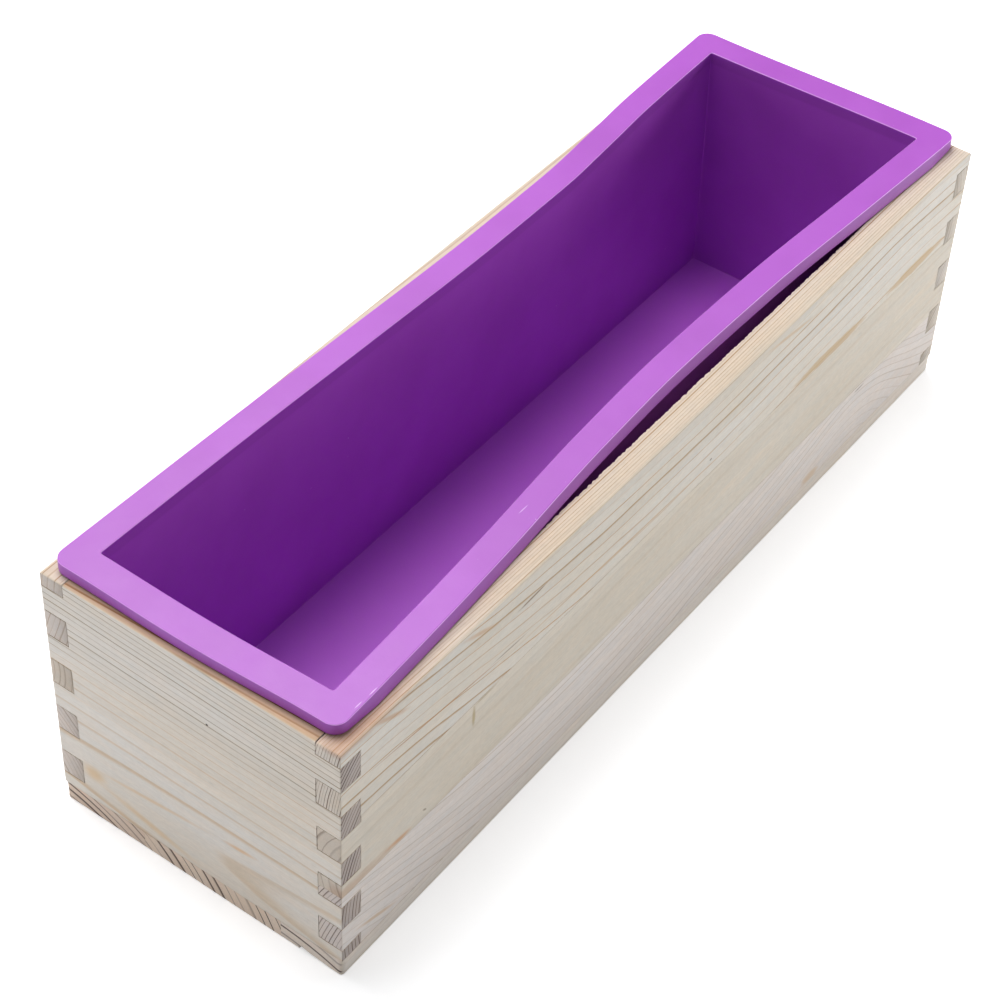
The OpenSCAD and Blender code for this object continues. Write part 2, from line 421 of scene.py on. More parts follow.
woodMarks = {
    "front_upper_stave": [
        # an orange-brown patch on the rim by the near corner: partly the wood's colour, partly painted
        # shade under the flange
        {"at": (-134, -42, 81), "size": (36, 9, 2.2), "colour": "b06a38", "strength": 0.42,
         "softness": 1.0, "ragged": 0.25},
        {"at": (-30, -44.5, 58.0), "size": (62, 3, 0.45), "lean": -0.035, "colour": "c79a57",
         "softness": 0.8, "ragged": 0.1},
        {"at": (-104, -44.5, 63.5), "size": (34, 3, 0.4), "lean": -0.11, "colour": "b57f45",
         "strength": 0.7, "ragged": 0.12},
        {"at": (-122, -44.5, 78), "size": (8, 5, 1.3), "lean": -0.42, "colour": "c78f55",
         "strength": 0.5, "softness": 0.8, "ragged": 0.2},
        {"at": (-89, -44.5, 77.2), "size": (9, 5, 1.2), "lean": -0.36, "colour": "cfa273",
         "strength": 0.55, "softness": 0.8, "ragged": 0.2},
        {"at": (-69, -44.5, 72.2), "size": (7, 3, 0.5), "lean": 0.04, "colour": "8a6f52",
         "strength": 0.8, "softness": 0.6},
        {"at": (-77, -44.5, 61.6), "size": (9, 3, 0.4), "lean": -0.06, "colour": "8d765c",
         "ragged": 0.25},
        {"at": (70, -44.5, 54.4), "size": (22, 3, 2.0), "colour": "cdb087", "strength": 0.75,
         "softness": 0.45},
        {"at": (116, -44.5, 55.2), "size": (19, 3, 2.0), "colour": "cdb087", "strength": 0.75,
         "softness": 0.45},
        {"at": (10, -44.5, 58.4), "size": (0.7, 1, 0.4), "colour": "6f5f50", "strength": 0.8,
         "softness": 0.5, "ragged": 0.1},
        {"at": (46, -44.5, 77.0), "size": (17, 5, 0.9), "lean": -0.13, "colour": "d3b48c",
         "softness": 0.8, "ragged": 0.2},
    ],
    "front_middle_stave": [
        {"at": (-144, -44.5, 31.6), "size": (32, 6, 3.4), "lean": -0.02, "colour": "c09a7a",
         "strength": 0.5, "ragged": 0.25},
        {"at": (-119, -44.5, 31.3), "size": (6, 3, 1.2), "lean": -0.08, "colour": "cf9157",
         "softness": 0.8, "ragged": 0.2},
        {"at": (-90.6, -44.5, 49.5), "size": (0.9, 3, 4.6), "colour": "ab9359"},
        {"at": (-86, -44.5, 53.2), "size": (6, 3, 0.7), "colour": "b09a70", "strength": 0.5},
        {"at": (-109, -44.5, 32.8), "size": (0.9, 2, 0.5), "lean": -0.5, "colour": "8d7a62",
         "strength": 0.7, "softness": 0.5, "ragged": 0.1},
    ],
    "front_lower_stave": [
        {"at": (93, -44.5, 25.0), "size": (3.2, 2, 0.35), "lean": 0.02, "colour": "8b7964",
         "strength": 0.7, "softness": 0.5},
        {"at": (70, -44.5, 7.6), "size": (5.5, 3, 2.4), "colour": "d9bc98", "softness": 0.6},
        {"at": (-127, -44.5, 10.5), "size": (9, 3, 1.0), "lean": -0.33, "colour": "cfae86",
         "ragged": 0.2},
    ],
    "left_end_board": [
        {"at": (-140, 33.5, 16.6), "size": (5.5, 4, 3.6), "colour": "dcb478", "strength": 0.55,
         "softness": 0.9, "ragged": 0.15},
        {"at": (-140, 16, 10.8), "size": (20, 4, 1.9), "lean": 0.22, "colour": "ddb77e",
         "strength": 0.5, "softness": 0.9, "ragged": 0.15},
        {"at": (-140, 14, 20.9), "size": (24, 4, 1.1), "lean": -0.115, "colour": "d9b27a",
         "strength": 0.5, "softness": 0.9, "ragged": 0.15},
        {"at": (-140, -13.5, 24.0), "size": (7, 4, 1.1), "lean": -0.09, "colour": "dba65f",
         "softness": 0.9, "ragged": 0.1},
        {"at": (-140, -5.5, 63.4), "size": (0.45, 1, 0.4), "colour": "2e2722", "strength": 0.95,
         "softness": 0.4, "ragged": 0.1},
    ],
}


def makePine(name):
    board = boardLooks(name)
    looks = pineLooks
    material, tree = newMaterial("pine_" + name)
    coords = addNode(tree, "TexCoord").outputs
    vector = vectorMaths(tree, "MULTIPLY", coords["Object"], (1 / mm, 1 / mm, 1 / mm))
    normal = splitVector(tree, coords["Normal"])
    parts = splitVector(tree, vector)
    lengthwise = normal[0]
    if board["grain"] == "y":
        vector = joinVector(tree, parts[1], parts[0], parts[2])
        lengthwise = normal[1]
    endGrain = ramp(tree, maths(tree, "ABSOLUTE", lengthwise), *looks["endGrainFacing"])
    rim = ramp(tree, normal[2], *looks["rimFacing"])

    share = maths(tree, "MULTIPLY_ADD", endGrain, looks["endGrainShare"] - board["lateShare"],
                  board["lateShare"])
    share = maths(tree, "MULTIPLY_ADD", rim, looks["rimShare"] - board["lateShare"], share)
    shift = board["shift"]
    for swell in board["swells"]:
        bulge = placeGroup(tree, swellGroup, {
            "Grain Vector": vector, "Place": swell["at"], "Length": swell["length"],
            "Breadth": swell["breadth"], "Height": swell["height"]})["Shift"]
        shift = maths(tree, "ADD", shift, bulge)
    rings = placeGroup(tree, ringsGroup, {
        "Grain Vector": vector, "Pith Across": board["pith"][0], "Pith Up": board["pith"][1],
        "Pith Tilt": board["tilt"], "Taper": board["taper"], "Shift": shift,
        "Ring Width": board["ringWidth"], "Late Share": share,
        "Warp": board["warp"], "Uneven": board["uneven"], "Seed": board["seed"]})
    fibre = placeGroup(tree, fibreGroup, {"Grain Vector": vector, "Seed": board["seed"]})
    edge = placeGroup(tree, edgeGroup, {"Normal": coords["Normal"]})["Edge"]

    # early and late wood
    contrast = maths(tree, "MULTIPLY_ADD", rim, looks["rimContrast"] - board["contrast"],
                     board["contrast"])
    late = maths(tree, "MULTIPLY", rings["Late Wood"], contrast, clamp=True)
    lateColour = mixColour(tree, maths(tree, "MULTIPLY", rings["Ring Tone"], looks["greyShare"]),
                           colour(board["late"]), colour(board["lateGrey"]))
    if "lowLate" in board:
        low = ramp(tree, parts[2], board["lowFrom"] - looks["lowBlend"],
                   board["lowFrom"] + looks["lowBlend"], 1.0, 0.0)
        lateColour = mixColour(tree, low, lateColour, colour(board["lowLate"]))
        lowShare = maths(tree, "MULTIPLY_ADD", low, board["lowShare"] - 1.0, 1.0)
        late = maths(tree, "MULTIPLY", late, lowShare)
    lateColour = mixColour(tree, rim, lateColour, looks["rimLate"])
    paint = mixColour(tree, maths(tree, "MULTIPLY", fibre["Cloud"], looks["cloudStrength"]),
                      colour(board["early"]), colour(board["cloud"]))
    paint = mixColour(tree, late, paint, lateColour)

    # fibres and mottling
    shade = maths(tree, "MULTIPLY_ADD", fibre["Streaks"], -looks["streakDarkening"], 1.0)
    shade = maths(tree, "MULTIPLY_ADD", fibre["Dashes"], -looks["dashDarkening"], shade)
    shade = maths(tree, "MULTIPLY_ADD", rings["Ring Tone"], -looks["ringToneDepth"], shade)
    grey = addNode(tree, "CombineColor", {0: shade, 1: shade, 2: shade}).outputs[0]
    paint = mixColour(tree, 1.0, paint, grey, "MULTIPLY")
    fine = maths(tree, "MULTIPLY_ADD", fibre["Mottle"], 2 * looks["mottle"], 1.0 - looks["mottle"])
    tone = maths(tree, "MULTIPLY", maths(tree, "SUBTRACT", fibre["Tone"], 0.5),
                 2 * looks["mottleTint"])
    patchy = addNode(tree, "CombineColor", {0: maths(tree, "ADD", fine, tone), 1: fine,
                                            2: maths(tree, "SUBTRACT", fine, tone)}).outputs[0]
    paint = mixColour(tree, 1.0, paint, patchy, "MULTIPLY")

    # rim, rounded edges, marks and end grain; the rim's tint is partly painted shade under the flange,
    # the lighter rounded edges partly a painted highlight
    # the rim's tint: partly the wood's colour, partly painted shade under the flange
    rimShaded = mixColour(tree, 1.0, paint, (*board["rimTintAndShade"], 1.0), "MULTIPLY")
    paint = mixColour(tree, rim, paint, rimShaded)
    # lighter rounded edges: partly sanded wear, partly a painted highlight
    paint = mixColour(tree, maths(tree, "MULTIPLY", edge, looks["edgeWearAndHighlightStrength"]), paint,
                      looks["edgeWearAndHighlightColour"])
    for ownMark in woodMarks.get(name, []):
        mark = {**usualMark, **ownMark}
        across, through, level = mark["at"]
        place = (through, across, level) if board["grain"] == "y" else mark["at"]
        mask = placeGroup(tree, markGroup, {
            "Vector": vector, "Place": place, "Size": mark["size"],
            "Lean": mark["lean"], "Softness": mark["softness"], "Ragged": mark["ragged"],
            "Seed": board["seed"]})["Mask"]
        paint = mixColour(tree, maths(tree, "MULTIPLY", mask, mark["strength"]), paint,
                          colour(mark["colour"]))
    sawn = mixColour(tree, 1.0, paint, (*board["endGrain"], 1.0), "MULTIPLY")
    sawnLate = maths(tree, "MULTIPLY", rings["Late Wood"],
                     board["endContrast"] * looks["endGrainLateStrength"], clamp=True)
    sawn = mixColour(tree, sawnLate, sawn, looks["endGrainLate"])
    paint = mixColour(tree, endGrain, paint, sawn)

    gloss = maths(tree, "MULTIPLY_ADD", late, looks["lateRoughness"], looks["roughness"])
    gloss = maths(tree, "MULTIPLY_ADD", fibre["Sanding"], looks["sandingRoughness"], gloss)
    relief = maths(tree, "MULTIPLY_ADD", fibre["Streaks"], looks["bumpStreaks"], fibre["Sanding"])
    relief = maths(tree, "MULTIPLY_ADD", late, looks["bumpLate"], relief)
    bump = addNode(tree, "Bump", {"Strength": looks["bumpStrength"], "Distance": looks["bumpDepth"],
                                  "Height": relief})
    surface = addNode(tree, "BsdfPrincipled", {
        "Base Color": paint, "Roughness": gloss, "Specular IOR Level": looks["specular"],
        "Normal": bump.outputs["Normal"]})
    addNode(tree, "OutputMaterial", {"Surface": surface.outputs[0]})
    return material


# how the boards are cut and rounded
boardShape = {
    "widestRound": 2.2 * mm,
    "rounds": {
        "face rim": 0.7 * mm,
        "inside rim": 0.2 * mm,
        "face tip": 0.35 * mm,
        "rim tip": 0.6 * mm,
        "face side": 0.10 * mm,
        "side tip": 0.10 * mm,
        "face slot": 0.10 * mm,
        "face glue": 0.05 * mm,
        "glue tip": 0.05 * mm,
        "face foot": 0.12 * mm,
        "foot tip": 0.12 * mm,
        "rim slot": 0.2 * mm,
        "rim side": 0.2 * mm,
    },
    "jointGap": (0.04 * mm, 0.11 * mm),
    "slotGap": (0.03 * mm, 0.22 * mm),
    "cutEvery": 4.0 * mm,
    "wave": 0.07 * mm,
    "waveLength": 24 * mm,
    # a corner of the box that was sanded or knocked rounder than the rest: end, height, size
    "softCorners": [{"x": halfLength, "y": -halfWidth, "z": rimHeight, "round": 2.0 * mm}],
}


def faceRole(face, grain):
    # what a flat face of a wall board is, from where it lies and which way it looks
    centre = face.calc_center_median()
    normal = face.normal
    alongAxis, throughAxis = (0, 1) if grain == "x" else (1, 0)
    halfAlong, halfThrough = (halfLength, halfWidth) if grain == "x" else (halfWidth, halfLength)
    tiny = 0.3 * mm
    if abs(normal[throughAxis]) > 0.9:
        return "face" if abs(centre[throughAxis]) > halfThrough - tiny else "inside"
    if abs(normal[alongAxis]) > 0.9:
        return "tip" if abs(centre[alongAxis]) > halfAlong - tiny else "slot"
    if centre.z > rimHeight - tiny:
        return "rim"
    if centre.z < footHeight + tiny:
        return "foot"
    return "side" if abs(centre[alongAxis]) > halfAlong - wallThickness else "glue"


def cleanSolid(nodeName):
    # the board's own solid from the frame, its triangles melted back into flat faces
    shape = bmesh.new()
    shape.from_mesh(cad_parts[nodeName].data)
    bmesh.ops.remove_doubles(shape, verts=shape.verts[:], dist=0.01 * mm)
    bmesh.ops.dissolve_limit(shape, angle_limit=math.radians(0.5), verts=shape.verts[:],
                             edges=shape.edges[:])
    bmesh.ops.recalc_face_normals(shape, faces=shape.faces[:])
    shape.edges.layers.float.new("bevel_weight_edge")
    return shape


def openJoints(shape, roles, chance):
    # glued joints are never quite full: fingers are a hair thin and slots a hair deep
    for face, role in roles.items():
        if role == "side":
            back = chance.uniform(*boardShape["jointGap"])
        elif role == "slot":
            back = chance.uniform(*boardShape["slotGap"])
        else:
            continue
        step = face.normal.copy() * -back
        for corner in face.verts:
            corner.co += step


def roundEdges(shape, widths, name):
    layer = shape.edges.layers.float["bevel_weight_edge"]
    for line, width in widths.items():
        line[layer] = width / boardShape["widestRound"]
    mesh = bpy.data.meshes.new(name)
    shape.to_mesh(mesh)
    shape.free()
    piece = linkToScene(name, mesh)
    rounding = piece.modifiers.new("rounding", "BEVEL")
    rounding.limit_method = "WEIGHT"
    rounding.width = boardShape["widestRound"]
    rounding.segments = 3
    rounding.use_clamp_overlap = False
    graph = bpy.context.evaluated_depsgraph_get()
    rounded = bpy.data.meshes.new_from_object(piece.evaluated_get(graph))
    piece.modifiers.clear()
    piece.data = rounded
    rounded.name = name
    return piece


def sliceAcross(shape, axis, places, geometry=None):
    direction = Vector([1.0 if i == axis else 0.0 for i in range(3)])
    for place in places:
        parts = geometry() if geometry else shape.verts[:] + shape.edges[:] + shape.faces[:]
        bmesh.ops.bisect_plane(shape, geom=parts, dist=0.001 * mm, plane_co=direction * place,
                               plane_no=direction)


def steps(low, high, every):
    count = max(1, round((high - low) / every))
    return [low + (high - low) * k / count for k in range(1, count)]


def waveInward(shape):
    # hand sanding leaves long shallow hollows, never bumps
    shape.normal_update()
    moves = []
    for corner in shape.verts:
        field = noise.noise(corner.co / boardShape["waveLength"])
        moves.append(corner.normal * (-boardShape["wave"] * (0.5 + 0.5 * field)))
    for corner, move in zip(shape.verts, moves):
        corner.co += move


def finishBoard(piece, name):
    shadeSmooth(piece)
    piece.data.materials.clear()
    piece.data.materials.append(makePine(name))
    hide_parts(name)
    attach(piece, "box")
    return piece


def makeWallBoard(name, chance):
    grain = boardLooks(name)["grain"]
    shape = cleanSolid(name)
    roles = {face: faceRole(face, grain) for face in shape.faces}
    openJoints(shape, roles, chance)
    widths = {}
    for line in shape.edges:
        pair = " ".join(sorted(roles[face] for face in line.link_faces))
        widths[line] = boardShape["rounds"].get(pair, 0.0)
        for corner in boardShape["softCorners"]:
            middle = (line.verts[0].co + line.verts[1].co) / 2
            near = abs(middle.x - corner["x"]) < mm and abs(middle.z - corner["z"]) < mm
            if pair == "rim tip" and near and middle.y * corner["y"] > 0:
                widths[line] = corner["round"]
    piece = roundEdges(shape, widths, name + "_board")
    low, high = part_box(name)
    shape = bmesh.new()
    shape.from_mesh(piece.data)
    longAxis = 0 if grain == "x" else 1
    sliceAcross(shape, longAxis, steps(low[longAxis], high[longAxis], boardShape["cutEvery"]))
    sliceAcross(shape, 2, steps(low.z, high.z, boardShape["cutEvery"]))
    waveInward(shape)
    if name == "front_upper_stave":
        tearRim(shape)
    shape.to_mesh(piece.data)
    shape.free()
    return finishBoard(piece, name)


tornRim = {
    "from": -68 * mm,
    "to": 92 * mm,
    "every": 0.4 * mm,
    "reach": 1.6 * mm,
    "depth": 0.40 * mm,
    "drop": 0.4 * mm,
    "cutReach": 4 * mm,
    "fadeLength": 12 * mm,
    "longTears": 6 * mm,
    "longShare": 0.45,
    "shortTears": 0.9 * mm,
    "shortShare": 0.9,
    "level": 0.2,
}


def tearRim(shape):
    # the saw tore fibres out of the rim's inner edge where the liner bows away from it
    inner = -insideHalfWidth
    torn = tornRim

    def nearEdge():
        found = [face for face in shape.faces
                 if torn["from"] < face.calc_center_median().x < torn["to"]
                 and face.calc_center_median().z > rimHeight - torn["cutReach"]
                 and face.calc_center_median().y > inner - torn["cutReach"]]
        lines = {line for face in found for line in face.edges}
        return list({corner for face in found for corner in face.verts}) + list(lines) + found

    sliceAcross(shape, 2, [rimHeight - torn["reach"]], nearEdge)
    sliceAcross(shape, 1, [inner - torn["reach"], inner - torn["reach"] / 2], nearEdge)
    sliceAcross(shape, 0, steps(torn["from"], torn["to"], torn["every"]), nearEdge)
    for corner in shape.verts:
        x, y, z = corner.co
        if not torn["from"] < x < torn["to"]:
            continue
        nearby = max(0.0, 1 - math.hypot(y - inner, z - rimHeight) / torn["reach"])
        if nearby == 0.0 or y < inner - torn["reach"] or z < rimHeight - torn["reach"]:
            continue
        fade = torn["fadeLength"]
        ends = min(1.0, (x - torn["from"]) / fade, (torn["to"] - x) / fade)
        long = noise.noise(Vector((x / torn["longTears"], 3.7, 0)))
        short = noise.noise(Vector((x / torn["shortTears"], 9.1, 0)))
        rough = torn["level"] + torn["longShare"] * long + torn["shortShare"] * short
        tear = max(0.0, rough) * nearby * ends
        corner.co.y -= torn["depth"] * tear
        corner.co.z -= torn["drop"] * tear


bottomShape = {
    "longRound": 0.6 * mm,
    "seatRound": 0.08 * mm,
    "endRound": 0.35 * mm,
    "glueRound": 0.06 * mm,
    "cornerRound": 1.4 * mm,
}


def makeBottomBoard(name):
    shape = cleanSolid(name)
    widths = {}
    for line in shape.edges:
        middle = (line.verts[0].co + line.verts[1].co) / 2
        outerSide = abs(middle.y) > halfWidth - 0.3 * mm
        outerEnd = abs(middle.x) > halfLength - 0.3 * mm
        if outerSide and outerEnd:
            widths[line] = bottomShape["cornerRound"]
        elif outerSide:
            widths[line] = bottomShape["longRound" if middle.z < 3 * mm else "seatRound"]
        elif outerEnd:
            upright = abs(line.verts[0].co.z - line.verts[1].co.z) > mm
            seat = middle.z > 3 * mm
            widths[line] = bottomShape["glueRound" if upright else "seatRound" if seat else "endRound"]
        else:
            widths[line] = bottomShape["glueRound"]
    piece = roundEdges(shape, widths, name + "_board")
    low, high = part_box(name)
    shape = bmesh.new()
    shape.from_mesh(piece.data)
    sliceAcross(shape, 0, steps(low.x, high.x, boardShape["cutEvery"]))
    sliceAcross(shape, 1, steps(low.y, high.y, boardShape["cutEvery"]))
    waveInward(shape)
    if name == "bottom_front_stave":
        chipUnderside(shape)
    shape.to_mesh(piece.data)
    shape.free()
    return finishBoard(piece, name)


chip = {
    "yDeep": -31.3 * mm,
    "yShallow": -42.0 * mm,
    "stepWidth": 0.15 * mm,
    "depth": 1.5 * mm,
    "xReach": 9.0 * mm,
    "xEvery": 1.5 * mm,
    "topHeight": 2.2 * mm,
    "steepness": 2.5,
    "roughness": 3 * mm,
}


def chipUnderside(shape):
    # a splinter is missing from the underside at the left end: a step that runs out to nothing
    end = -halfLength
    places = [chip["yDeep"], chip["yDeep"] + chip["stepWidth"]]
    sliceAcross(shape, 1, places + steps(chip["yShallow"], chip["yDeep"], mm))
    sliceAcross(shape, 0, steps(end, end + chip["xReach"], chip["xEvery"]))
    for corner in shape.verts:
        x, y, z = corner.co
        past = 1 - (x - end) / chip["xReach"]
        inChip = chip["yShallow"] < y < chip["yDeep"] + 0.05 * mm
        if z > chip["topHeight"] or past <= 0 or not inChip:
            continue
        share = (y - chip["yShallow"]) / (chip["yDeep"] - chip["yShallow"])
        field = noise.noise(Vector((x / chip["roughness"], y / chip["roughness"], 1.3)))
        ragged = 0.85 + 0.3 * field
        lift = chip["depth"] * share * min(1.0, past * chip["steepness"]) * ragged
        corner.co.z = max(corner.co.z, min(corner.co.z + lift, lift + 0.3 * corner.co.z))


chance = random.Random(7)
for name in ("front_upper_stave", "front_middle_stave", "front_lower_stave"):
    makeWallBoard(name, chance)
for name in ("rear_upper_stave", "rear_middle_stave", "rear_lower_stave"):
    makeWallBoard(name, chance)
for name in ("left_end_board", "right_end_board"):
    makeWallBoard(name, chance)
for name in ("bottom_front_stave", "bottom_middle_stave", "bottom_rear_stave"):
    makeBottomBoard(name)
print("box: 11 boards made")


# the liner: one moulding with its flange
liner = {
    "wall": 2.5 * mm,
    "floor": 2.7 * mm,
    "flange": 3.4 * mm,
    "gap": 0.7 * mm,
    "setBack": 0.4 * mm,
    "flangeEndInset": 1.6 * mm,
    "flangeSideInset": 2.5 * mm,
    "flangeCorner": 4.0 * mm,
    "cavityCorner": 0.5 * mm,
    "edgeRound": 0.28 * mm,
    "bowPower": 1.6,
    "sidePoints": 190,
    "endPoints": 30,
    "cornerPoints": 9,
    "wallLoops": 22,
    "edgeLoops": 4,
    "floorInsets": (30 * mm, 12 * mm, 3 * mm),
    "underInset": 1.5 * mm,
    "leastCorner": 0.3 * mm,
    # how far each long side is pushed towards the rear at the flange, along its length
    "frontPush": [(-138, 0.3), (-97, 2.1), (-70, 3.7), (-27, 6.8), (8, 8.0), (50, 7.3), (95, 4.7),
                  (138, 2.2)],
    "rearPush": [(-138, 0.4), (-75, -0.7), (-35, -1.8), (18, -3.0), (50, -2.8), (75, -1.3),
                 (95, 0.2), (138, 1.6)],
    # how far each end moves to the right, at its front and at its rear corner
    "rightEndFront": 1.3 * mm,
    "rightEndRear": -0.9 * mm,
    "leftEndFront": 1.6 * mm,
    "leftEndRear": 0.8 * mm,
    # the front of the flange was trimmed at a slant: its lower edge stands out past the upper one
    "frontSlant": 1.0 * mm,
    "slantOver": 4 * mm,
    "slantEndRoom": 5 * mm,
    "slantFade": 10 * mm,
    # the least room between the walls and the wood, where the wood holds them back
    "leastGap": 0.05 * mm,
}


def smoothLine(points, x):
    # a curve through the points that never overshoots them
    if x <= points[0][0]:
        return points[0][1]
    if x >= points[-1][0]:
        return points[-1][1]
    slopes = [(b[1] - a[1]) / (b[0] - a[0]) for a, b in zip(points, points[1:])]
    lean = [slopes[0]]
    for before, after in zip(slopes, slopes[1:]):
        lean.append(0.0 if before * after <= 0 else 2 * before * after / (before + after))
    lean.append(slopes[-1])
    k = max(i for i in range(len(points) - 1) if points[i][0] <= x)
    (x0, y0), (x1, y1) = points[k], points[k + 1]
    span = x1 - x0
    t = (x - x0) / span
    return ((1 + 2 * t) * (1 - t) ** 2 * y0 + t * (1 - t) ** 2 * span * lean[k]
            + t * t * (3 - 2 * t) * y1 + t * t * (t - 1) * span * lean[k + 1])


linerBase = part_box("silicone_liner")[0].z
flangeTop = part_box("silicone_liner")[1].z
flangeUnder = flangeTop - liner["flange"]
cavityFloor = linerBase + liner["floor"]


def heldByBox(point, moved):
    # below the flange a wall can't go into the wood, however far the flange above it stands out
    inBox = abs(point.x) < insideHalfLength and abs(point.y) < insideHalfWidth
    if inBox and point.z < flangeUnder + 0.01 * mm:
        roomX = insideHalfLength - liner["leastGap"]
        roomY = insideHalfWidth - liner["leastGap"]
        moved.x = max(-roomX, min(roomX, moved.x))
        moved.y = max(-roomY, min(roomY, moved.y))
    return moved


def unit(value):
    return max(0.0, min(1.0, value))


def pushed(point):
    # a point of the straight liner moved by the bowed sides, the skewed ends and the slanted front
    bow = unit((point.z - cavityFloor) / (flangeUnder - cavityFloor)) ** liner["bowPower"]
    side = unit(0.5 + 0.5 * point.y / insideHalfWidth)
    side = side * side * (3 - 2 * side)
    x = point.x / mm
    push = smoothLine(liner["frontPush"], x) * (1 - side) + smoothLine(liner["rearPush"], x) * side
    moved = point.copy()
    moved.y += liner["setBack"] + push * mm * bow
    stretch = max(0.0, point.x / halfLength) ** 3
    skew = liner["rightEndFront"] * (1 - side) + liner["rightEndRear"] * side
    moved.x += stretch * skew * bow
    outward = unit((-point.y - insideHalfWidth) / liner["slantOver"])
    below = unit((flangeTop - point.z) / liner["flange"])
    inland = unit((halfLength - liner["slantEndRoom"] - abs(point.x)) / liner["slantFade"])
    moved.y -= liner["frontSlant"] * outward * below * inland
    stretch = max(0.0, -point.x / halfLength) ** 3
    skew = liner["leftEndFront"] * (1 - side) ** 3 + liner["leftEndRear"] * side ** 3
    moved.x += stretch * skew * bow
    return heldByBox(point, moved)


def roundedLoop(reachX, reachY, radius, z):
    # counterclockwise from the front left corner
    loop = []
    centres = [(-1, -1), (1, -1), (1, 1), (-1, 1)]
    for corner, (signX, signY) in enumerate(centres):
        middle = Vector((signX * (reachX - radius), signY * (reachY - radius), z))
        for k in range(liner["cornerPoints"] + 1):
            angle = math.pi + math.pi / 2 * (corner + k / liner["cornerPoints"])
            loop.append(middle + radius * Vector((math.cos(angle), math.sin(angle), 0)))
        nextX, nextY = centres[(corner + 1) % 4]
        start = loop[-1]
        across = corner % 2 == 0
        count = liner["sidePoints"] if across else liner["endPoints"]
        stop = Vector((nextX * (reachX - radius) if across else start.x,
                       start.y if across else nextY * (reachY - radius), z))
        for k in range(1, count):
            loop.append(start.lerp(stop, k / count))
    return loop


def makeLiner():
    shape = bmesh.new()
    wallX = insideHalfLength - liner["gap"]
    wallY = insideHalfWidth - liner["gap"]
    cavityX = wallX - liner["wall"]
    cavityY = wallY - liner["wall"]
    rimX = halfLength - liner["flangeEndInset"]
    rimY = halfWidth - liner["flangeSideInset"]
    small = liner["edgeRound"]
    outerCorner = liner["cavityCorner"] + liner["wall"] / 2
    loops = []

    def addLoop(reachX, reachY, radius, z):
        loops.append([shape.verts.new(pushed(p)) for p in roundedLoop(reachX, reachY, radius, z)])

    def quarter(reachX, reachY, radius, z, startAngle, turn, size):
        # a rounded edge: loops whose section runs round a quarter circle
        for k in range(liner["edgeLoops"] + 1):
            angle = startAngle + turn * math.pi / 2 * k / liner["edgeLoops"]
            out = size * math.cos(angle)
            addLoop(reachX + out, reachY + out, max(liner["leastCorner"], radius + out),
                    z + size * math.sin(angle))

    for inset in liner["floorInsets"]:
        addLoop(wallX - inset, wallY - inset, outerCorner, linerBase)
    quarter(wallX - small, wallY - small, outerCorner - small, linerBase + small,
            -math.pi / 2, 1, small)
    count = liner["wallLoops"]
    for k in range(1, count):
        z = linerBase + small + (flangeUnder - linerBase - small) * k / count
        addLoop(wallX, wallY, outerCorner, z)
    addLoop(wallX, wallY, outerCorner, flangeUnder)
    under = liner["underInset"]
    rimCorner = liner["flangeCorner"]
    addLoop(rimX - under, rimY - under, rimCorner - under, flangeUnder)
    quarter(rimX - small, rimY - small, rimCorner - small, flangeUnder + small, -math.pi / 2, 1, small)
    quarter(rimX - small, rimY - small, rimCorner - small, flangeTop - small, 0, 1, small)
    addLoop((rimX + cavityX) / 2, (rimY + cavityY) / 2, (rimCorner + outerCorner) / 2, flangeTop)
    quarter(cavityX + small, cavityY + small, liner["cavityCorner"] + small, flangeTop - small,
            math.pi / 2, 1, small)
    bottom = cavityFloor + small
    for k in range(1, count):
        z = flangeTop - small + (bottom - flangeTop + small) * k / count
        addLoop(cavityX, cavityY, liner["cavityCorner"], z)
    quarter(cavityX - small, cavityY - small, liner["cavityCorner"], bottom, 0, -1, small)
    for inset in reversed(liner["floorInsets"]):
        addLoop(cavityX - inset, cavityY - inset, liner["cavityCorner"], cavityFloor)
    for low, high in zip(loops, loops[1:]):
        total = len(low)
        for i in range(total):
            j = (i + 1) % total
            shape.faces.new((low[i], low[j], high[j], high[i]))
    shape.faces.new(reversed(loops[0]))
    shape.faces.new(loops[-1])
    bmesh.ops.recalc_face_normals(shape, faces=shape.faces[:])
    mesh = bpy.data.meshes.new("silicone_liner_moulding")
    shape.to_mesh(mesh)
    shape.free()
    piece = linkToScene("silicone_liner_moulding", mesh)
    shadeSmooth(piece)
    mesh.materials.append(makeSilicone())
    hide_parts("silicone_liner")
    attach(piece, "liner")
    return piece


